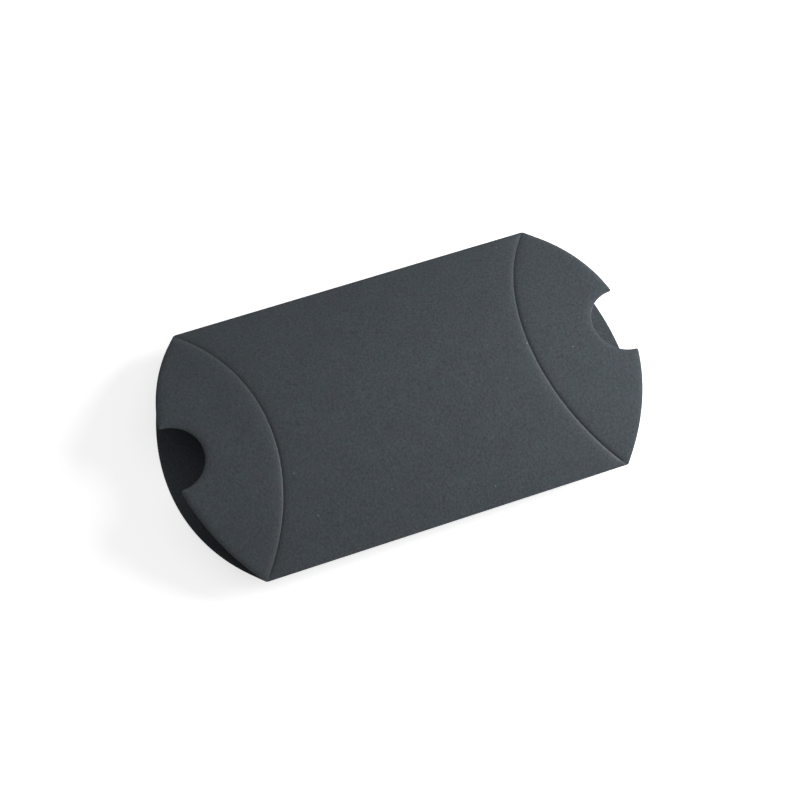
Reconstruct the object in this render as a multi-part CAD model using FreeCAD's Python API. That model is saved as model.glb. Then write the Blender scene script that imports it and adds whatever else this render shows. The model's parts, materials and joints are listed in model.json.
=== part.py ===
import FreeCAD, Part
import math
import os

# A pillow box, popped open: one die-cut card blank, creased, folded flat and glued into a sleeve.
# Two bowed panels meet in sharp side folds. At each end a curved crease parts each panel from its flap,
# and the upper flaps have a half-round thumb notch.
# Frame: X across the box, Y along it, Z up, with the origin on the table under the middle of the box.
# "Back" is the +Y end and "front" the -Y end. The two ends are alike.

# Driving dimensions, in mm
WIDTH = 64.0  # across the box, from one side fold to the other
LENGTH = 87.0  # along a side fold, from corner to corner
BOW = 7.1  # rise of each panel's outside over the plane of the side folds
CARD = 0.5  # thickness of the card
CREASE_SAG = 12.0  # how far a curved crease runs in from its two corners
FLAP_BULGE = 12.4  # how far a flap's cut edge runs out past its two corners
NOTCH_RADIUS = 7.9  # thumb notch in an upper flap
NOTCH_INSET = 0.7  # from the cut edge in to the notch's centre

# Creases, folds and glue seam
SCORE_WIDTH = 0.8  # pressed line of a curved crease
SCORE_CARD = 0.3  # card left under the pressed line, at its inside
FOLD_BAND = 2.5  # width of the creased band beside a side fold, on each panel
TAB_REACH = 12.0  # glue tab, from the seam fold inwards
TAB_FOOT = 81.0  # length of the tab at the fold
TAB_TOP = 66.0  # length of the tab at its free edge
GLUE = 0.1  # thickness of the glue film
GLUE_INSET = 1.5  # bare border of the tab around the glue

# Room for the flaps to turn
FLAP_GAP = 0.6  # between a crease and its flap
TIP_TRIM = 1.2  # taken off each pointed end of a flap

# Worked out from those
HALF = WIDTH / 2
END = LENGTH / 2
OUTER_RADIUS = (HALF**2 + BOW**2) / (2 * BOW)
INNER_RADIUS = OUTER_RADIUS - CARD
DROP = OUTER_RADIUS - BOW  # from the fold plane to the centre of a panel's bow
FOLD_HEIGHT = BOW  # the fold plane over the table
REACH = END + FLAP_BULGE + 1  # a little past either end
HEADROOM = 3 * BOW  # a little over the top
UPPER, LOWER = 1, -1
Y_AXIS = FreeCAD.Vector(0, 1, 0)
ORIGIN = FreeCAD.Vector(0, 0, 0)


def fold_half(radius):
    """Half the width that a bow of this radius has at the fold plane."""
    return math.sqrt(radius**2 - DROP**2)


def closed_face(edges):
    return Part.Face(Part.Wire([edge.toShape() for edge in edges]))


def polyline(points):
    return [Part.LineSegment(a, b) for a, b in zip(points, points[1:])]


def sheet(side, outer, inner):
    """Card between two radii on one side of the fold plane, from end to end."""

    def point(x, rise):
        return FreeCAD.Vector(x, -REACH, FOLD_HEIGHT + side * rise)

    wide, narrow = fold_half(outer), fold_half(inner)
    section = closed_face(
        [
            Part.Arc(point(-wide, 0), point(0, outer - DROP), point(wide, 0)),
            Part.LineSegment(point(wide, 0), point(narrow, 0)),
            Part.Arc(point(narrow, 0), point(0, inner - DROP), point(-narrow, 0)),
            Part.LineSegment(point(-narrow, 0), point(-wide, 0)),
        ]
    )
    return section.extrude(FreeCAD.Vector(0, 2 * REACH, 0))


def prism(edges):
    """An upright block over an outline drawn on the table."""
    return closed_face(edges).extrude(FreeCAD.Vector(0, 0, HEADROOM))


def block(low_x, high_x):
    """Everything between two planes across the box."""
    low_corner = FreeCAD.Vector(low_x, -REACH, 0)
    return Part.makeBox(high_x - low_x, 2 * REACH, HEADROOM, low_corner)


def crease_arc(end, shift):
    """The curved crease at one end, moved outwards by shift, as an arc from -X to +X."""
    corner, middle = end * (END + shift), end * (END - CREASE_SAG + shift)
    return Part.Arc(
        FreeCAD.Vector(-HALF, corner, 0),
        FreeCAD.Vector(0, middle, 0),
        FreeCAD.Vector(HALF, corner, 0),
    )


def within_creases(shift):
    """Outline of a panel, up to the creases at both ends."""
    corner = END + shift
    right = polyline([FreeCAD.Vector(HALF, -corner, 0), FreeCAD.Vector(HALF, corner, 0)])
    left = polyline([FreeCAD.Vector(-HALF, corner, 0), FreeCAD.Vector(-HALF, -corner, 0)])
    return prism([crease_arc(-1, shift), *right, crease_arc(1, shift), *left])


def beyond_crease(shift):
    """Everything outside the back crease."""
    corner = END + shift
    far = [
        FreeCAD.Vector(HALF, corner, 0),
        FreeCAD.Vector(HALF, REACH, 0),
        FreeCAD.Vector(-HALF, REACH, 0),
        FreeCAD.Vector(-HALF, corner, 0),
    ]
    return prism([crease_arc(1, shift), *polyline(far)])


def tongue():
    """Outline of the back end up to the flap's cut edge, which springs from the inside of the folds."""
    half = fold_half(INNER_RADIUS)
    cut_edge = Part.Arc(
        FreeCAD.Vector(half, END, 0),
        FreeCAD.Vector(0, END + FLAP_BULGE, 0),
        FreeCAD.Vector(-half, END, 0),
    )
    sides = [
        FreeCAD.Vector(-half, END, 0),
        FreeCAD.Vector(-half, 0, 0),
        FreeCAD.Vector(half, 0, 0),
        FreeCAD.Vector(half, END, 0),
    ]
    return prism([cut_edge, *polyline(sides)])


def tab_outline(inset):
    """The glue tab's trapezium beside the seam fold, drawn in by inset."""
    foot, top = TAB_FOOT / 2 - inset, TAB_TOP / 2 - inset
    fold_side, free_side = -HALF, -HALF + TAB_REACH - inset
    corners = [
        FreeCAD.Vector(fold_side, -foot, 0),
        FreeCAD.Vector(free_side, -top, 0),
        FreeCAD.Vector(free_side, top, 0),
        FreeCAD.Vector(fold_side, foot, 0),
        FreeCAD.Vector(fold_side, -foot, 0),
    ]
    return prism(polyline(corners))


def front_of(shape):
    """The like piece at the front end."""
    return shape.mirror(ORIGIN, Y_AXIS)


def bow_cylinder(side, radius):
    """The round bar whose surface is a panel's bow at this radius."""
    base = FreeCAD.Vector(0, -REACH, FOLD_HEIGHT - side * DROP)
    return Part.makeCylinder(radius, 2 * REACH, base, Y_AXIS)


def seam_fold():
    """The folded band that joins the upper panel to the glue tab, with the root of the tab under it."""
    band = sheet(UPPER, OUTER_RADIUS, INNER_RADIUS).common(within_creases(-SCORE_WIDTH / 2))
    band = band.common(block(-HALF, -HALF + FOLD_BAND))
    tab_outer = INNER_RADIUS - GLUE
    root = bow_cylinder(LOWER, tab_outer).cut(bow_cylinder(LOWER, tab_outer - CARD))
    root = root.common(bow_cylinder(UPPER, INNER_RADIUS)).common(tab_outline(0))
    above_fold = Part.makeBox(WIDTH, LENGTH, CARD, FreeCAD.Vector(-HALF, -END, FOLD_HEIGHT))
    return band.fuse(root.common(above_fold)).removeSplitter()


def sleeve():
    """Panels, side folds, glue tab and glue of the sleeve."""
    upper = sheet(UPPER, OUTER_RADIUS, INNER_RADIUS).common(within_creases(-SCORE_WIDTH / 2))
    lower = sheet(LOWER, OUTER_RADIUS, INNER_RADIUS).common(within_creases(-SCORE_WIDTH / 2))
    fold_start = HALF - FOLD_BAND
    side_band = block(fold_start, HALF)
    tab_outer = INNER_RADIUS - GLUE
    return {
        "upper_panel": upper.common(block(-fold_start, fold_start)),
        "lower_panel": lower.common(block(-HALF, fold_start)),
        "side_fold": upper.common(side_band).fuse(lower.common(side_band)).removeSplitter(),
        "seam_fold": seam_fold(),
        "glue_tab": sheet(LOWER, tab_outer, tab_outer - CARD).common(tab_outline(0)),
        "glue_line": sheet(LOWER, INNER_RADIUS, tab_outer).common(tab_outline(GLUE_INSET)),
    }


def crease(side):
    """The pressed line at the back end: a thin band of card at the inside, so its groove faces out."""
    band = beyond_crease(-SCORE_WIDTH / 2).cut(beyond_crease(SCORE_WIDTH / 2))
    return sheet(side, INNER_RADIUS + SCORE_CARD, INNER_RADIUS).common(band)


def flap(side):
    """A lens of bowed card at the back end, between its crease and its cut edge."""
    tip = fold_half(INNER_RADIUS) - TIP_TRIM
    outline = tongue().common(beyond_crease(SCORE_WIDTH / 2 + FLAP_GAP)).common(block(-tip, tip))
    return sheet(side, OUTER_RADIUS, INNER_RADIUS).common(outline)


def thumb_notch():
    centre = FreeCAD.Vector(0, END + FLAP_BULGE - NOTCH_INSET, 0)
    return Part.makeCylinder(NOTCH_RADIUS, HEADROOM, centre)


def ends():
    """Creases and flaps at both ends."""
    upper_flap = flap(UPPER).cut(thumb_notch())
    back = {
        "upper_crease": crease(UPPER),
        "lower_crease": crease(LOWER),
        "upper_flap": upper_flap,
        "lower_flap": flap(LOWER),
    }
    pieces = {"back_" + name: shape for name, shape in back.items()}
    pieces.update({"front_" + name: front_of(shape) for name, shape in back.items()})
    return pieces


os.makedirs("parts", exist_ok=True)
for name, shape in {**sleeve(), **ends()}.items():
    print(name, "solids", len(shape.Solids), "valid", shape.isValid(), "mm3", round(shape.Volume, 2))
    shape.exportStep(os.path.join("parts", name + ".step"))
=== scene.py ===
"""A pillow box of matt dark card, popped open on a white table.

The box is one creased and glued card blank. Every piece here is a thin sheet of that card, or of
the glue in its seam, worked out as an outer and an inner surface on one grid, with a rim round its
border. Lengths in the code are metres, in the frame of the solids: X across the box, Y along it,
Z up from the table.
"""

import json
import math

import bpy
import numpy as np
from mathutils import Matrix, Vector


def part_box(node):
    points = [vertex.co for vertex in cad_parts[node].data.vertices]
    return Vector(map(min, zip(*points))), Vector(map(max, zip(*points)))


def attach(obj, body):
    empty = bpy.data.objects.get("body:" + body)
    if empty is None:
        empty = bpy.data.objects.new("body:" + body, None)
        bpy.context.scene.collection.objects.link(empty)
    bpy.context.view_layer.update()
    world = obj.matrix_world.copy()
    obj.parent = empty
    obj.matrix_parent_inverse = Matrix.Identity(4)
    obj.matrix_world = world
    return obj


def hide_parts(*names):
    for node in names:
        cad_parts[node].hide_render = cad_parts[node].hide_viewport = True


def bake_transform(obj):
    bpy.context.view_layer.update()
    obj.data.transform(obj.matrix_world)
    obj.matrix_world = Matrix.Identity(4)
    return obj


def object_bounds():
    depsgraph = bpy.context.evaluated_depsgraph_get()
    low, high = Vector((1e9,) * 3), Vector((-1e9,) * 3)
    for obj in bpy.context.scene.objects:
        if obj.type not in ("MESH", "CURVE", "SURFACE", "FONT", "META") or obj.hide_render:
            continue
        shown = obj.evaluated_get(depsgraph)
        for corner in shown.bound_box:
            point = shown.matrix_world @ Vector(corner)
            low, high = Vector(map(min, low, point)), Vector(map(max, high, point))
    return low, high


bl_info = {
    "name": "Pillow box",
    "version": (1, 0, 0),
    "blender": (4, 5, 0),
    "location": "View3D > Sidebar > Pillow box",
    "description": "Builds a card pillow box with creased end flaps around its solids",
    "category": "Object",
}

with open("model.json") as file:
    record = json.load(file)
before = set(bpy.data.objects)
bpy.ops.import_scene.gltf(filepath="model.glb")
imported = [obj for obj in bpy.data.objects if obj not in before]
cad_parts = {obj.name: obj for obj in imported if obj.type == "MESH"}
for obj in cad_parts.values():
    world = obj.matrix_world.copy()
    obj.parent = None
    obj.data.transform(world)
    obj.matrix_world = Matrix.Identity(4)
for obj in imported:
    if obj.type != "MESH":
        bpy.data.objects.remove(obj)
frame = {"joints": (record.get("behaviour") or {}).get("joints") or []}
CAD_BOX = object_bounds()

MM = 0.001
UPPER, LOWER = 1, -1
FRONT, BACK = -1, 1
END_NAMES = {FRONT: "front", BACK: "back"}
SIDE_NAMES = {UPPER: "upper", LOWER: "lower"}

# Main sizes, from the solids. The flaps' joints lie on the fold plane, across the ends' corners.
JOINT_PLACES = {joint["child"]: Vector(joint["pos_m"]) for joint in frame["joints"]}
END = abs(JOINT_PLACES["back_upper_flap"].y)  # from the middle to a corner, along the box
FOLD_HEIGHT = JOINT_PLACES["back_upper_flap"].z  # the fold plane, over the table
HALF = CAD_BOX[1].x  # half the width
BULGE = CAD_BOX[1].y - END  # of a flap's cut edge, past the corners
BOW = CAD_BOX[1].z - FOLD_HEIGHT  # rise of a panel over the fold plane
FOLD_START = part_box("upper_panel")[1].x  # where the band of a side fold begins
TAB_LOW, TAB_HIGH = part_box("glue_tab")
GLUE_LOW, GLUE_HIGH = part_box("glue_line")

OUTER_RADIUS = (HALF**2 + BOW**2) / (2 * BOW)  # of a panel's bow
DROP = OUTER_RADIUS - BOW  # from the fold plane to the centre of that bow

# Finer shape of the card
MITRE_GAP = 0.02 * MM  # left between the two halves where they meet in the fold plane
THIN_END = 0.2 * MM  # left off where card would run out to nothing, as at a flap's tips
VALLEY_SHARE = 0.5  # a crease's sharp valley, as a share of its depth; the shoulders are the rest
CREASE_RUNOUT = 1.5 * MM  # the way to a corner over which a crease runs out
ROLL_RUNOUT = 2.5 * MM  # the same for the roll of a cut edge
CREVICE = 0.6 * MM  # from the corner to the point that draws the seam's inside into its crevice

# The glue tab, a trapezium on the seam fold
TAB_FOOT = 81.0 * MM  # length at the fold
TAB_TOP = 66.0 * MM  # length at the free edge
TAB_REACH = 12.0 * MM  # from the fold to the free edge

# Fineness of the meshes
PANEL_ACROSS, PANEL_ALONG = 181, 221  # points of a panel's grid
TAB_ACROSS, TAB_ALONG = 41, 161  # points of the glue tab's grid
BESIDE_ACROSS, LIP_ACROSS, NOTCH_ACROSS = 70, 9, 61  # points beside a notch, on a lip, in the notch
FLAP_ALONG = 81  # points from a flap's crease to its cut edge
BAND_ACROSS, ROUND_ACROSS = 16, 9  # points on a side fold's band, and round its fold
RIM_STEPS = 6  # from the outside of the card to its inside
SHARP_ANGLE = 50  # degrees; edges that bend more than this look sharp
NO_LENGTH = 1e-12  # keeps a line that has no direction from a division by zero

# Patterns of the card, with their real sizes in millimetres
CLOUD = 7.0  # clouds of denser and thinner pulp
DRIFT = 2.4  # patches that took the dye a little bluer or redder
TOOTH = 0.48  # felted tooth; the real one is half as wide, this is as fine as the picture shows
FIBRE = 0.40  # single fibres, drawn as coarse for the same reason
FIBRE_STRETCH = (0.6, 1.0, 1.0)  # fibres lie mostly across the box
FLECK_CELL = 3.2  # each cell this wide may hold one pale fleck
FLECK_CORE, FLECK_RIM = 0.038, 0.060  # share of a cell at which a fleck begins and ends to fade
FLECK_PICK = 0.6  # cells over this share of a random draw hold a fleck
NOISE_LOW, NOISE_HIGH = 0.3, 0.7  # usual reach of one noise
GRAIN_LOW, GRAIN_HIGH = 0.6, 1.4  # usual reach of tooth and fibre added up

# What those patterns do to the card
CLOUD_DARK, CLOUD_LIGHT = 0.95, 1.05  # factors on its brightness
GRAIN_DARK, GRAIN_LIGHT = 0.535, 1.465
CREASE_PAINTED_SHADE = 0.80  # painted shade: a factor on the brightness in a crease's valley, deepening the crease's shadow
EDGE_PALENESS = 0.4  # share of the pale fibres' colour on a cut edge
MATT_LOW, MATT_HIGH = 0.80, 0.92  # roughness, from the hollows of the grain to its tops
PRESSED_ROUGHNESS = 0.42
GRAIN_HEIGHT, GRAIN_RELIEF = 0.03 * MM, 0.35  # depth of the grain, and how much of it shows
CARD_IOR = 1.47  # of cellulose
CARD_SPECULAR = 0.3  # low, because the pores swallow part of the gloss

# The dried glue
GLUE_CLOUD = 2.5  # width of its cloudy patches in millimetres
GLUE_DARK, GLUE_LIGHT = 0.85, 1.1  # factors on its brightness
GLUE_HEIGHT, GLUE_RELIEF = 0.05 * MM, 0.3  # depth of its unevenness, and how much of it shows
GLUE_ROUGHNESS = 0.4

# The stage
CAMERA_PLACE = Vector((198.8, -121.7, 485.8)) * MM
CAMERA_AIM = Vector((0.0, 0.0, 7.1)) * MM
PICTURE_RIGHT = Vector((0.319, 0.948, -0.003))  # the direction that lies level in the picture
SENSOR_WIDTH = 36.0  # millimetres
LAMPS = {  # place and width in metres, power in watts
    "window": ((0.03, 0.28, 0.15), 0.20, 1.25),
    "ceiling": ((0.0, 0.0, 1.5), 2.0, 4.0),
}
LAMP_RIGHT = Vector((1, 0.1, 0))  # a direction that no lamp looks in
WORLD_STRENGTH = 0.10  # of the light from the surroundings
TABLE_HALF = 3.0  # half the table's width
TABLE_GAP = 0.02 * MM  # between the table and the box
TABLE_LIFT = 0.70  # glow of the table beside the box, which rises to 1 away from it
LIFT_NEAR, LIFT_FAR = 0.10, 0.35  # between these distances from the box's middle


class PillowBoxSizes(bpy.types.PropertyGroup):
    """Sizes of the card and its creases."""

    card: bpy.props.FloatProperty(
        name="Card", description="Thickness of the card", default=0.5 * MM, unit="LENGTH"
    )
    crease_sag: bpy.props.FloatProperty(
        name="Crease sag", description="How far a curved crease runs in from its corners",
        default=12.0 * MM, unit="LENGTH",
    )
    score_depth: bpy.props.FloatProperty(
        name="Score depth", description="Depth of a crease's pressed valley",
        default=0.42 * MM, unit="LENGTH",
    )
    score_width: bpy.props.FloatProperty(
        name="Score width", description="How far a crease's sharp valley reaches to each side",
        default=0.30 * MM, unit="LENGTH",
    )
    score_shoulder: bpy.props.FloatProperty(
        name="Score shoulder", description="How far a crease's soft shoulders reach to each side",
        default=1.1 * MM, unit="LENGTH",
    )
    bead: bpy.props.FloatProperty(
        name="Bead", description="Height of the bead that a crease raises inside the box",
        default=0.30 * MM, unit="LENGTH",
    )
    notch_radius: bpy.props.FloatProperty(
        name="Notch radius", description="Radius of a thumb notch",
        default=7.9 * MM, unit="LENGTH",
    )
    notch_lip: bpy.props.FloatProperty(
        name="Notch lip", description="Rounding where a thumb notch meets the cut edge",
        default=0.5 * MM, unit="LENGTH",
    )
    fold_radius: bpy.props.FloatProperty(
        name="Fold radius", description="Rounding along a side fold",
        default=0.12 * MM, unit="LENGTH",
    )
    cut_crown: bpy.props.FloatProperty(
        name="Cut crown", description="How far a die-cut edge swells out at mid thickness",
        default=0.07 * MM, unit="LENGTH",
    )
    edge_roll: bpy.props.FloatProperty(
        name="Edge roll", description="How far the die rolled down the outer corner of a cut edge",
        default=0.27 * MM, unit="LENGTH",
    )
    roll_reach: bpy.props.FloatProperty(
        name="Roll reach", description="How far in from a cut edge its roll reaches",
        default=0.60 * MM, unit="LENGTH",
    )
    glue: bpy.props.FloatProperty(
        name="Glue", description="Thickness of the glue film", default=0.1 * MM, unit="LENGTH"
    )


class PillowBoxLooks(bpy.types.PropertyGroup):
    """Colours of the box and its table, and the camera's lens."""

    card_colour: bpy.props.StringProperty(
        name="Card", description="The dyed card, as sRGB hex", default="454D51"
    )
    drift_colour: bpy.props.StringProperty(
        name="Drift", description="The card where it took the dye a little redder, as sRGB hex",
        default="474B51",
    )
    fibre_colour: bpy.props.StringProperty(
        name="Fibre", description="Pale fibres and flecks in the card, as sRGB hex",
        default="7F8689",
    )
    glue_colour: bpy.props.StringProperty(
        name="Glue", description="Dried glue, as sRGB hex", default="B9AF97"
    )
    floor_colour: bpy.props.StringProperty(
        name="Floor", description="The table, as sRGB hex", default="F4F4F4"
    )
    lens: bpy.props.FloatProperty(
        name="Lens", description="Focal length of the camera", default=105.0, unit="CAMERA"
    )


def sizes():
    """The sizes that this scene holds."""
    return bpy.context.scene.pillow_box_sizes


def looks():
    """The looks that this scene holds."""
    return bpy.context.scene.pillow_box_looks


# Shapes of the blank


def arc_radius(rise):
    """Radius of the circular arc whose chord runs from -HALF to HALF, with that rise in the middle:
    the sum of the squares of the half chord and the rise, over twice the rise."""
    return (HALF**2 + rise**2) / (2 * rise)


def arc_rise(x, rise):
    """Height at x of that arc over its chord."""
    radius = arc_radius(rise)
    return np.sqrt(radius**2 - np.asarray(x) ** 2) - (radius - rise)


def crease_y(x):
    """Distance of a curved crease from the box's middle: the corner's, less the arc of its sag."""
    return END - arc_rise(x, sizes().crease_sag)


def notch_lips():
    """Half the notch's width where its circle ends, and where its lip's rounding ends on the cut
    edge. The rounding touches the circle from outside, so the two centres are as far apart as both
    radii together, and it lies under the edge."""
    size = sizes()
    lip_end = math.sqrt(size.notch_radius**2 + 2 * size.notch_radius * size.notch_lip)
    return lip_end * size.notch_radius / (size.notch_radius + size.notch_lip), lip_end


def plain_cut_y(x):
    """Distance of a flap's cut edge from the box's middle, without a notch: the corner's, plus the
    arc of its bulge. The edge's crown is left out."""
    return END + arc_rise(x, BULGE) - sizes().cut_crown


def notch_centre():
    """Distance of a thumb notch's centre from the box's middle: on the cut edge's level where the
    notch's circle ends."""
    circle_end, _ = notch_lips()
    return plain_cut_y(circle_end)


def cut_y(x, notched):
    """Distance of a flap's cut edge from the box's middle. A thumb notch is almost a half circle
    round its centre, with almost a quarter circle the other way at each lip."""
    edge = plain_cut_y(x)
    if not notched:
        return edge
    size = sizes()
    circle_end, lip_end = notch_lips()
    circle = notch_centre() - np.sqrt(np.maximum(size.notch_radius**2 - x**2, 0))
    from_lip = lip_end - np.abs(x)
    lip = edge - size.notch_lip + np.sqrt(np.maximum(size.notch_lip**2 - from_lip**2, 0))
    return np.select([np.abs(x) < circle_end, np.abs(x) < lip_end], [circle, lip], edge)


def crease_distance(x, y):
    """Distance of a point from the nearest crease: the gap along Y, times the cosine of the
    crease's slope."""
    radius = arc_radius(sizes().crease_sag)
    return np.abs(np.abs(y) - crease_y(x)) * np.sqrt(radius**2 - x**2) / radius


def grid_points(x, y, z):
    """Points of a grid, from arrays of their coordinates that are spread over it."""
    return np.stack(np.broadcast_arrays(x, y, z), -1)


def bowed(x, y, depth, side):
    """Points of a bowed sheet: x is carried to the angle whose sine is x over the outer radius, and
    the point lies at that angle on the radius less its depth under the outside. It stays on its
    own side of the fold plane."""
    angle = np.arcsin(x / OUTER_RADIUS)
    radius = OUTER_RADIUS - depth
    height = np.maximum(radius * np.cos(angle) - DROP, MITRE_GAP)
    return grid_points(radius * np.sin(angle), y, FOLD_HEIGHT + side * height)


def runout(x, way):
    """1 across the box, and evenly down to 0 at the corners over that way."""
    return np.clip((HALF - np.abs(x)) / way, 0, 1)


def press(x, y):
    """How far a crease is pressed in at a point, from 0 to 1: a sharp valley with soft shoulders,
    which is the sum of two exponentials of the distance, and runs out towards the corners."""
    size = sizes()
    away = crease_distance(x, y)
    valley = VALLEY_SHARE * np.exp(-away / size.score_width)
    shoulder = (1 - VALLEY_SHARE) * np.exp(-away / size.score_shoulder)
    return (valley + shoulder) * runout(x, CREASE_RUNOUT)


def roll(x, y, notched):
    """How far a flap's outside is rolled down at a point: an exponential of the distance from the
    cut edge, which is its arc's radius less the distance from the arc's centre, or from a notch's
    circle if that is nearer. It runs out towards the corners."""
    size = sizes()
    radius = arc_radius(BULGE)
    away = radius - size.cut_crown - np.hypot(x, np.abs(y) - (END + BULGE - radius))
    if notched:
        away = np.minimum(away, np.hypot(x, np.abs(y) - notch_centre()) - size.notch_radius)
    rolled = np.exp(-np.maximum(away, 0) / size.roll_reach)
    return size.edge_roll * rolled * runout(x, ROLL_RUNOUT)


def outside(x, y, side, rolled=0):
    """The outer surface of the card, with its creases, and rolled down as far as rolled says."""
    return bowed(x, y, sizes().score_depth * press(x, y) + rolled, side)


def inside(x, y, side):
    """The inner surface of the card, with the beads that the creases raise."""
    return bowed(x, y, sizes().card + sizes().bead * press(x, y), side)


def crowded(count):
    """Places from -1 to 1, crowded towards both ends: sines of even angles."""
    return np.sin(np.linspace(-1, 1, count) * math.pi / 2)[None, :]


def between_creases(x):
    """Distances along the box at x, from the front crease to the back one, crowded at both."""
    return crease_y(x) * crowded(PANEL_ALONG)


# Meshes


def grid_faces(across, along):
    """Corners of the quads of a grid whose points are numbered along first, then across."""
    index = np.arange(across * along).reshape(across, along)
    quads = [index[:-1, :-1], index[1:, :-1], index[1:, 1:], index[:-1, 1:]]
    return np.stack(quads, -1).reshape(-1, 4)


def border(across, along):
    """Numbers of a grid's border points, once round, the way that its faces turn."""
    index = np.arange(across * along).reshape(across, along)
    return np.concatenate([index[:-1, 0], index[-1, :-1], index[:0:-1, -1], index[0, :0:-1]])


def outward(loop):
    """Unit vectors in the table's plane at right angles to a closed line, to the right of its
    direction."""
    along = np.roll(loop, -1, 0) - np.roll(loop, 1, 0)
    away = np.stack([along[:, 1], -along[:, 0], np.zeros(len(along))], -1)
    return away / np.maximum(np.linalg.norm(away, axis=1, keepdims=True), NO_LENGTH)


def rim_points(top, bottom, cut):
    """Points of the rim from the outer to the inner border, ring by ring: halves of an ellipse,
    which swell out where cut is 1 and are flat where it is 0."""
    away = outward(top) * cut[:, None] * sizes().cut_crown
    turn = np.linspace(0, math.pi, RIM_STEPS + 1)[1:-1, None, None]
    return top + (bottom - top) * (1 - np.cos(turn)) / 2 + away * np.sin(turn)


def sheet_faces(across, along):
    """Quads of a closed sheet: the outer grid, the inner grid turned over, and the rim from the
    outer border over its rings to the inner border."""
    grid, loop = grid_faces(across, along), border(across, along)
    count, around = across * along, len(loop)
    between = 2 * count + np.arange((RIM_STEPS - 1) * around).reshape(-1, around)
    rings = np.concatenate([loop[None], between, loop[None] + count])
    here, there = rings[:-1], rings[1:]
    rim = np.stack([np.roll(here, -1, 1), here, there, np.roll(there, -1, 1)], -1)
    return np.concatenate([grid, grid[:, ::-1] + count, rim.reshape(-1, 4)])


def facing_out(points, faces):
    """The faces, turned over if they enclose a volume below zero: the sum over all faces of a
    corner's place, measured from the middle, times the normal, as long as the area."""
    corners = points[faces]
    normals = np.cross(corners[:, 1] - corners[:, 0], corners[:, 2] - corners[:, 0])
    volume = np.einsum("ij,ij->", corners[:, 0] - points.mean(0), normals)
    return faces[:, ::-1] if volume < 0 else faces


def card_piece(name, outer, inner, cut, pressed=0):
    """A closed sheet: an outer and an inner grid, and a rim between their borders. Where cut, an
    array over the grid, is 1, the border is a die-cut edge. The array pressed says how far a crease
    has pressed the outside. The material reads both as attributes."""
    loop, count = border(*cut.shape), cut.size
    outer, inner = outer.reshape(-1, 3), inner.reshape(-1, 3)
    cut_here = cut.reshape(-1)[loop]
    rim = rim_points(outer[loop], inner[loop], cut_here)
    points = np.concatenate([outer, inner, rim.reshape(-1, 3)])
    mesh = bpy.data.meshes.new(name)
    mesh.from_pydata(points.tolist(), [], facing_out(points, sheet_faces(*cut.shape)).tolist())

    marks = {"cut_edge": np.zeros(len(points)), "pressed": np.zeros(len(points))}
    marks["cut_edge"][2 * count :] = np.tile(cut_here, len(rim))
    marks["pressed"][:count] = np.broadcast_to(pressed, cut.shape).reshape(-1)
    for label, values in marks.items():
        attribute = mesh.attributes.new(label, "FLOAT", "POINT")
        attribute.data.foreach_set("value", values.astype(np.float32))

    mesh.polygons.foreach_set("use_smooth", np.ones(len(mesh.polygons), bool))
    mesh.set_sharp_from_angle(angle=math.radians(SHARP_ANGLE))
    mesh.update()
    piece = bpy.data.objects.new(name, mesh)
    bpy.context.scene.collection.objects.link(piece)
    return piece


# Materials


def linear(code):
    """The linear colour of an sRGB hex code: each channel's power law, with the straight part near
    black, in the numbers of the sRGB standard."""
    channels = [int(code[k : k + 2], 16) / 255 for k in (0, 2, 4)]
    return [c / 12.92 if c <= 0.04045 else ((c + 0.055) / 1.055) ** 2.4 for c in channels] + [1.0]


def add_node(tree, kind, settings=None, **inputs):
    """Adds a node, sets its properties, and sets or links its inputs. In an input's name an
    underscore stands for a space, and a number after an underscore for the input's place."""
    node = tree.nodes.new(kind)
    for name, value in (settings or {}).items():
        setattr(node, name, value)
    for name, value in inputs.items():
        socket = node.inputs[int(name[1:]) if name[1:].isdigit() else name.replace("_", " ")]
        if isinstance(value, bpy.types.NodeSocket):
            tree.links.new(value, socket)
        else:
            socket.default_value = value
    return node


def new_material(name):
    """A material of that name, and its empty node tree."""
    material = bpy.data.materials.new(name)
    material.use_nodes = True
    material.node_tree.nodes.clear()
    return material, material.node_tree


def per_mm(size):
    """The scale of a noise whose grains are about this many millimetres wide, on coordinates in
    metres."""
    return 1 / (size * MM)


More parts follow.
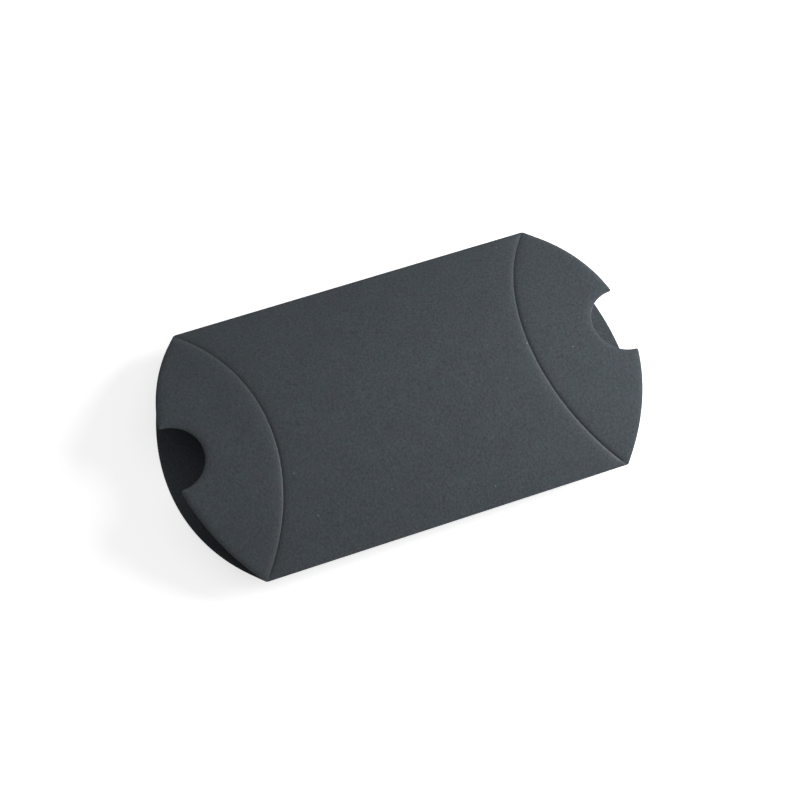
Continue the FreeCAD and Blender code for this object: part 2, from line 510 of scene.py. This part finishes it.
def dyed_card():
    """Uncoated card, dyed through and calendered: matt, with a cloudy formation, a fine tooth of
    felted fibres that took the dye unevenly, and a few pale flecks. The eye sees an even blue-grey
    black with a soft sheen at low angles, smoother where a crease was pressed, and a little paler
    where the die cut the fibres. In a crease's valley the colour is darkened as well: painted
    shade, which deepens the crease's shadow."""
    name = "dyed uncoated card"
    if name in bpy.data.materials:
        return bpy.data.materials[name]
    look = looks()
    material, tree = new_material(name)
    place = add_node(tree, "ShaderNodeTexCoord").outputs["Object"]
    pressed = add_node(tree, "ShaderNodeAttribute", {"attribute_name": "pressed"}).outputs["Fac"]
    edge = add_node(tree, "ShaderNodeAttribute", {"attribute_name": "cut_edge"}).outputs["Fac"]

    # Dye, which drifts between two hues
    drift = add_node(
        tree, "ShaderNodeTexNoise", Vector=place, Scale=per_mm(DRIFT), Detail=2.0
    )
    hue = add_node(
        tree, "ShaderNodeMapRange", Value=drift.outputs["Fac"],
        From_Min=NOISE_LOW, From_Max=NOISE_HIGH,
    )
    dye = add_node(
        tree, "ShaderNodeMix", {"data_type": "RGBA"},
        _0=hue.outputs[0], _6=linear(look.card_colour), _7=linear(look.drift_colour),
    )

    # Brightness, from the grain and the clouds, and painted shade in the creases
    tooth = add_node(
        tree, "ShaderNodeTexNoise", Vector=place, Scale=per_mm(TOOTH), Detail=4.0, Roughness=0.7
    )
    lying = add_node(tree, "ShaderNodeMapping", Vector=place, Scale=FIBRE_STRETCH)
    fibre = add_node(
        tree, "ShaderNodeTexNoise", Vector=lying.outputs[0], Scale=per_mm(FIBRE), Detail=3.0
    )
    grain = add_node(
        tree, "ShaderNodeMath", {"operation": "ADD"},
        _0=tooth.outputs["Fac"], _1=fibre.outputs["Fac"],
    ).outputs[0]
    shade = add_node(
        tree, "ShaderNodeMapRange", Value=grain,
        From_Min=GRAIN_LOW, From_Max=GRAIN_HIGH, To_Min=GRAIN_DARK, To_Max=GRAIN_LIGHT,
    )
    cloud = add_node(
        tree, "ShaderNodeTexNoise", Vector=place, Scale=per_mm(CLOUD), Detail=3.0, Roughness=0.55
    )
    haze = add_node(
        tree, "ShaderNodeMapRange", Value=cloud.outputs["Fac"],
        From_Min=NOISE_LOW, From_Max=NOISE_HIGH, To_Min=CLOUD_DARK, To_Max=CLOUD_LIGHT,
    )
    # Painted shade: the colour darkens towards a crease's valley, deepening the crease's shadow
    crease_painted_shade = add_node(
        tree, "ShaderNodeMapRange", Value=pressed, To_Min=1.0, To_Max=CREASE_PAINTED_SHADE
    )
    level = shade
    for factor in (haze, crease_painted_shade):
        level = add_node(
            tree, "ShaderNodeMath", {"operation": "MULTIPLY"},
            _0=level.outputs[0], _1=factor.outputs[0],
        )
    dyed = add_node(
        tree, "ShaderNodeVectorMath", {"operation": "SCALE"},
        _0=dye.outputs["Result"], Scale=level.outputs[0],
    )

    # Pale flecks in some cells, and pale cut edges
    cell = add_node(
        tree, "ShaderNodeTexVoronoi", Vector=place, Scale=per_mm(FLECK_CELL), Randomness=1.0
    )
    fleck_shape = add_node(
        tree, "ShaderNodeMapRange", Value=cell.outputs["Distance"],
        From_Min=FLECK_CORE, From_Max=FLECK_RIM, To_Min=1.0, To_Max=0.0,
    )
    draw = add_node(tree, "ShaderNodeSeparateColor", Color=cell.outputs["Color"])
    chosen = add_node(
        tree, "ShaderNodeMath", {"operation": "GREATER_THAN"}, _0=draw.outputs[0], _1=FLECK_PICK
    )
    flecks = add_node(
        tree, "ShaderNodeMath", {"operation": "MULTIPLY"},
        _0=fleck_shape.outputs[0], _1=chosen.outputs[0],
    )
    pale_edge = add_node(
        tree, "ShaderNodeMath", {"operation": "MULTIPLY"}, _0=edge, _1=EDGE_PALENESS
    )
    pale = add_node(
        tree, "ShaderNodeMath", {"operation": "MAXIMUM"},
        _0=flecks.outputs[0], _1=pale_edge.outputs[0],
    )
    colour = add_node(
        tree, "ShaderNodeMix", {"data_type": "RGBA"},
        _0=pale.outputs[0], _6=dyed.outputs[0], _7=linear(look.fibre_colour),
    )

    # Surface
    matt = add_node(
        tree, "ShaderNodeMapRange", Value=grain,
        From_Min=GRAIN_LOW, From_Max=GRAIN_HIGH, To_Min=MATT_LOW, To_Max=MATT_HIGH,
    )
    roughness = add_node(
        tree, "ShaderNodeMapRange", Value=pressed, To_Min=matt.outputs[0], To_Max=PRESSED_ROUGHNESS
    )
    relief = add_node(
        tree, "ShaderNodeBump", Strength=GRAIN_RELIEF, Distance=GRAIN_HEIGHT, Height=grain
    )
    shader = add_node(
        tree, "ShaderNodeBsdfPrincipled",
        Base_Color=colour.outputs["Result"], Roughness=roughness.outputs[0],
        Normal=relief.outputs[0], IOR=CARD_IOR, Specular_IOR_Level=CARD_SPECULAR,
    )
    add_node(tree, "ShaderNodeOutputMaterial", Surface=shader.outputs[0])
    return material


def dried_glue():
    """A film of dried packaging glue, rolled on: the eye sees a cloudy, yellowish skin with a satin
    surface."""
    material, tree = new_material("dried packaging glue")
    place = add_node(tree, "ShaderNodeTexCoord").outputs["Object"]
    cloud = add_node(
        tree, "ShaderNodeTexNoise", Vector=place, Scale=per_mm(GLUE_CLOUD), Detail=3.0
    ).outputs["Fac"]
    shade = add_node(
        tree, "ShaderNodeMapRange", Value=cloud,
        From_Min=NOISE_LOW, From_Max=NOISE_HIGH, To_Min=GLUE_DARK, To_Max=GLUE_LIGHT,
    )
    colour = add_node(
        tree, "ShaderNodeVectorMath", {"operation": "SCALE"},
        _0=linear(looks().glue_colour)[:3], Scale=shade.outputs[0],
    )
    relief = add_node(
        tree, "ShaderNodeBump", Strength=GLUE_RELIEF, Distance=GLUE_HEIGHT, Height=cloud
    )
    shader = add_node(
        tree, "ShaderNodeBsdfPrincipled",
        Base_Color=colour.outputs[0], Roughness=GLUE_ROUGHNESS, Normal=relief.outputs[0],
    )
    add_node(tree, "ShaderNodeOutputMaterial", Surface=shader.outputs[0])
    return material


def finish_piece(piece, material, nodes):
    """Gives a piece its material, and hides the solids that it stands for."""
    piece.data.materials.append(material)
    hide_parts(*nodes)


# The sleeve


class PILLOWBOX_OT_panels(bpy.types.Operator):
    """Make the two bowed panels, up to the middle of the creases at both ends"""

    bl_idname = "pillow_box.panels"
    bl_label = "Panels"

    def execute(self, context):
        for side in (UPPER, LOWER):
            name = SIDE_NAMES[side]
            # The lower panel runs on to its free edge, in the corner of the seam.
            start = -FOLD_START if side == UPPER else -HALF + THIN_END
            x = np.linspace(start, FOLD_START, PANEL_ACROSS)[:, None]
            y = between_creases(x)
            cut = np.zeros(y.shape)
            if side == LOWER:
                cut[0] = 1
            outer, inner = outside(x, y, side), inside(x, y, side)
            piece = card_piece(name + "_panel_card", outer, inner, cut, press(x, y))
            creases = [f"{END_NAMES[end]}_{name}_crease" for end in (FRONT, BACK)]
            finish_piece(piece, dyed_card(), [name + "_panel", *creases])
            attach(piece, "sleeve")
        return {"FINISHED"}


def fold_band(depth, radius):
    """The bow of that depth in a side fold: the x of its points, from the panel to the start of a
    rounding of that radius, and the rounding's centre and angle. The rounding touches the upper and
    the lower bow, which come to their corner at the angle to the fold plane, so its centre is the
    radius over the angle's sine inside the corner."""
    bow = OUTER_RADIUS - depth
    corner = math.sqrt(bow**2 - DROP**2)
    angle = math.asin(corner / bow)
    centre = corner - radius / math.sin(angle)
    touch = (centre + radius * math.sin(angle)) * OUTER_RADIUS / bow
    return np.linspace(FOLD_START, touch, BAND_ACROSS)[:, None], centre, angle


def rounding(x, height, radius, start, end):
    """Points round a fold: an arc about x and a height over the fold plane, carried between the
    creases."""
    turn = np.linspace(start, end, ROUND_ACROSS + 2)[1:-1, None]
    across = x + radius * np.cos(turn)
    up = FOLD_HEIGHT + height + radius * np.sin(turn)
    return grid_points(across, between_creases(across), up)


def side_fold_surface(surface, depth, radius):
    """One surface of the band round the plain fold: the upper bow, the rounding, and the lower bow
    back again."""
    x, centre, angle = fold_band(depth, radius)
    y = between_creases(x)
    lean = math.pi / 2 - angle
    nose = rounding(centre, 0, radius, lean, -lean)
    return np.concatenate([surface(x, y, UPPER), nose, surface(x, y, LOWER)[::-1]])


def seam_fold_surfaces():
    """The band round the seam: outside, the upper bow, the rounding, and level along the fold plane
    to the root of the glue tab; inside, a curve of second degree from the upper bow's lip to that
    root, drawn towards the crevice on its way."""
    radius = sizes().fold_radius
    floor = FOLD_HEIGHT + MITRE_GAP
    x, centre, angle = fold_band(0, radius)
    bow = outside(-x, between_creases(x), UPPER)
    nose = rounding(-centre, radius, radius, math.pi / 2 + angle, 1.5 * math.pi)
    level = -centre + (TAB_LOW.x + centre) * np.linspace(0, 1, ROUND_ACROSS)[:, None]
    outer = np.concatenate([bow, nose, grid_points(level, between_creases(level), floor)])

    lip = inside(np.array([[-FOLD_START]]), between_creases(FOLD_START), UPPER)
    root = lip.copy()
    root[..., 2] = floor
    crevice = root.copy()
    crevice[..., 0] = -HALF + CREVICE
    share = np.linspace(0, 1, len(outer))[:, None, None]
    inner = (1 - share) ** 2 * lip + 2 * share * (1 - share) * crevice + share**2 * root
    return outer, inner


class PILLOWBOX_OT_folds(bpy.types.Operator):
    """Make the creased bands round the plain side fold and the seam fold"""

    bl_idname = "pillow_box.folds"
    bl_label = "Side folds"

    def execute(self, context):
        size = sizes()
        bands = {
            "side_fold": (
                side_fold_surface(outside, 0, size.fold_radius),
                side_fold_surface(inside, size.card, size.fold_radius / 2),
            ),
            "seam_fold": seam_fold_surfaces(),
        }
        for name, (outer, inner) in bands.items():
            pressed = press(outer[..., 0], outer[..., 1])
            piece = card_piece(name + "_card", outer, inner, np.zeros(pressed.shape), pressed)
            finish_piece(piece, dyed_card(), [name])
            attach(piece, "sleeve")
        return {"FINISHED"}


def seam_sheet(name, low, high, depth, thickness):
    """A sheet of the glue seam inside the lower panel, that deep under its outside: a trapezium
    whose ends slope in from the fold to the free edge, drawn in as far as its box says. Its x is
    carried out to the panel's outside, which is where a bow takes it."""
    x = np.linspace(low.x, high.x, TAB_ACROSS)[:, None]
    slope = (TAB_FOOT - TAB_TOP) / 2 / TAB_REACH
    half = TAB_FOOT / 2 - (x + HALF) * slope - (TAB_HIGH.y - high.y)
    y = half * np.linspace(-1, 1, TAB_ALONG)[None, :]
    wide = x * OUTER_RADIUS / (OUTER_RADIUS - depth)
    cut = np.ones(y.shape)
    cut[0] = 0
    return card_piece(
        name, bowed(wide, y, depth, LOWER), bowed(wide, y, depth + thickness, LOWER), cut
    )


class PILLOWBOX_OT_glue_seam(bpy.types.Operator):
    """Make the glue tab inside the lower panel, and the film of glue between the two"""

    bl_idname = "pillow_box.glue_seam"
    bl_label = "Glue seam"

    def execute(self, context):
        size = sizes()
        tab = seam_sheet("glue_tab_card", TAB_LOW, TAB_HIGH, size.card + size.glue, size.card)
        finish_piece(tab, dyed_card(), ["glue_tab"])
        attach(tab, "sleeve")
        film = seam_sheet("glue_line_film", GLUE_LOW, GLUE_HIGH, size.card, size.glue)
        finish_piece(film, dried_glue(), ["glue_line"])
        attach(film, "sleeve")
        return {"FINISHED"}


# The end flaps


def across_flap():
    """Places across a flap: even steps from the tip to the notch, even angles round its lip and its
    circle, and the same on the other side."""
    size = sizes()
    circle_end, lip_end = notch_lips()
    beside = np.linspace(-HALF + THIN_END, -lip_end, BESIDE_ACROSS)
    lip_turn = math.asin((lip_end - circle_end) / size.notch_lip)
    lip = -lip_end + size.notch_lip * np.sin(np.linspace(0, lip_turn, LIP_ACROSS))
    circle_turn = math.asin(circle_end / size.notch_radius)
    turn = np.linspace(-circle_turn, circle_turn, NOTCH_ACROSS)
    one_side = np.concatenate([beside[:-1], lip[:-1]])
    return np.concatenate([one_side, size.notch_radius * np.sin(turn), -one_side[::-1]])[:, None]


class PILLOWBOX_OT_flaps(bpy.types.Operator):
    """Make the four end flaps, from the middle of their crease to their cut edge"""

    bl_idname = "pillow_box.flaps"
    bl_label = "End flaps"

    def execute(self, context):
        x = across_flap()
        share = (1 + crowded(FLAP_ALONG)) / 2
        for end in (FRONT, BACK):
            for side in (UPPER, LOWER):
                name = f"{END_NAMES[end]}_{SIDE_NAMES[side]}_flap"
                notched = side == UPPER
                y = crease_y(x) + (cut_y(x, notched) - crease_y(x)) * share
                outer = outside(x, end * y, side, roll(x, y, notched))
                inner = inside(x, end * y, side)
                cut = np.zeros(y.shape)
                cut[:, -1] = 1
                layers = [outer, inner, cut, press(x, y)]
                # The front end is the back end's mirror image, so it runs the other way across.
                if end == FRONT:
                    layers = [layer[::-1] for layer in layers]
                piece = card_piece(name + "_card", *layers)
                finish_piece(piece, dyed_card(), [name])
                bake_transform(piece)
        return {"FINISHED"}


# The stage


def look_at(place, aim, right):
    """A turn that looks from place to aim with the picture's right side towards right."""
    back = (place - aim).normalized()
    side = (right - back * right.dot(back)).normalized()
    up = back.cross(side)
    return Matrix((side, up, back)).transposed().to_4x4()


def add_lamp(name, place, width, power):
    """A round soft box that looks at the object and is never in the picture."""
    data = bpy.data.lights.new(name, "AREA")
    data.shape = "DISK"
    data.size = width
    data.energy = power
    lamp = bpy.data.objects.new(name, data)
    turn = look_at(Vector(place), CAMERA_AIM, LAMP_RIGHT)
    lamp.matrix_world = Matrix.Translation(place) @ turn
    lamp.visible_camera = False
    bpy.context.scene.collection.objects.link(lamp)


def add_camera():
    """The camera at the picture's viewing angle."""
    data = bpy.data.cameras.new("camera")
    data.sensor_width = SENSOR_WIDTH
    data.lens = looks().lens
    camera = bpy.data.objects.new("camera", data)
    turn = look_at(CAMERA_PLACE, CAMERA_AIM, PICTURE_RIGHT)
    camera.matrix_world = Matrix.Translation(CAMERA_PLACE) @ turn
    bpy.context.scene.collection.objects.link(camera)
    bpy.context.scene.camera = camera


def seen_directly(tree):
    """1 for the rays that show the background itself: to the camera, or by a reflection or through
    something."""
    path = add_node(tree, "ShaderNodeLightPath")
    seen = path.outputs["Is Camera Ray"]
    for name in ("Is Glossy Ray", "Is Transmission Ray"):
        seen = add_node(
            tree, "ShaderNodeMath", {"operation": "MAXIMUM"}, _0=seen, _1=path.outputs[name]
        ).outputs[0]
    return seen


def white_table():
    """A matt white table top. Where it is seen it is lifted towards white, fully so away from the
    box, so that the eye sees only the box's own shadow on it."""
    material, tree = new_material("white table top")
    place = add_node(tree, "ShaderNodeTexCoord").outputs["Object"]
    away = add_node(tree, "ShaderNodeVectorMath", {"operation": "LENGTH"}, _0=place)
    lift = add_node(
        tree, "ShaderNodeMapRange", Value=away.outputs["Value"],
        From_Min=LIFT_NEAR, From_Max=LIFT_FAR, To_Min=TABLE_LIFT, To_Max=1.0,
    )
    glow = add_node(
        tree, "ShaderNodeMath", {"operation": "MULTIPLY"},
        _0=seen_directly(tree), _1=lift.outputs[0],
    )
    matt = add_node(tree, "ShaderNodeBsdfDiffuse", Color=linear(looks().floor_colour))
    light = add_node(tree, "ShaderNodeEmission", Strength=glow.outputs[0])
    both = add_node(tree, "ShaderNodeAddShader", _0=matt.outputs[0], _1=light.outputs[0])
    add_node(tree, "ShaderNodeOutputMaterial", Surface=both.outputs[0])
    return material


def add_table():
    """A square table top, a hair under the box."""
    turns = ((-1, -1), (1, -1), (1, 1), (-1, 1))
    mesh = bpy.data.meshes.new("table_top")
    corners = [(x * TABLE_HALF, y * TABLE_HALF, -TABLE_GAP) for x, y in turns]
    mesh.from_pydata(corners, [], [(0, 1, 2, 3)])
    mesh.materials.append(white_table())
    table = bpy.data.objects.new("table_top", mesh)
    bpy.context.scene.collection.objects.link(table)


def studio_world():
    """Surroundings that look white and give a little even light."""
    world = bpy.data.worlds.new("studio")
    world.use_nodes = True
    tree = world.node_tree
    tree.nodes.clear()
    strength = add_node(
        tree, "ShaderNodeMapRange", Value=seen_directly(tree), To_Min=WORLD_STRENGTH, To_Max=1.0
    )
    sky = add_node(
        tree, "ShaderNodeBackground", Color=(1, 1, 1, 1), Strength=strength.outputs[0]
    )
    add_node(tree, "ShaderNodeOutputWorld", Surface=sky.outputs[0])
    return world


class PILLOWBOX_OT_stage(bpy.types.Operator):
    """Make the white table, the soft lamps, the surroundings and the camera"""

    bl_idname = "pillow_box.stage"
    bl_label = "Stage"

    def execute(self, context):
        add_table()
        context.scene.world = studio_world()
        for name, (place, width, power) in LAMPS.items():
            add_lamp(name, place, width, power)
        add_camera()
        context.scene.view_settings.view_transform = "Standard"
        return {"FINISHED"}


class PILLOWBOX_PT_sidebar(bpy.types.Panel):
    """Lists the box's sizes, its looks and the steps that build it"""

    bl_idname = "PILLOWBOX_PT_sidebar"
    bl_label = "Pillow box"
    bl_space_type = "VIEW_3D"
    bl_region_type = "UI"
    bl_category = "Pillow box"

    def draw(self, context):
        for group in (context.scene.pillow_box_sizes, context.scene.pillow_box_looks):
            for name in group.__annotations__:
                self.layout.prop(group, name)
        for operator in OPERATORS:
            self.layout.operator(operator.bl_idname)


OPERATORS = (
    PILLOWBOX_OT_panels,
    PILLOWBOX_OT_folds,
    PILLOWBOX_OT_glue_seam,
    PILLOWBOX_OT_flaps,
    PILLOWBOX_OT_stage,
)
CLASSES = (PillowBoxSizes, PillowBoxLooks, *OPERATORS, PILLOWBOX_PT_sidebar)


def register():
    for cls in CLASSES:
        bpy.utils.register_class(cls)
    bpy.types.Scene.pillow_box_sizes = bpy.props.PointerProperty(type=PillowBoxSizes)
    bpy.types.Scene.pillow_box_looks = bpy.props.PointerProperty(type=PillowBoxLooks)


def unregister():
    del bpy.types.Scene.pillow_box_looks
    del bpy.types.Scene.pillow_box_sizes
    for cls in reversed(CLASSES):
        bpy.utils.unregister_class(cls)


def main():
    """Builds the box on its stage."""
    register()
    bpy.ops.pillow_box.panels()
    bpy.ops.pillow_box.folds()
    bpy.ops.pillow_box.glue_seam()
    bpy.ops.pillow_box.flaps()
    bpy.ops.pillow_box.stage()


if __name__ == "__main__":
    main()
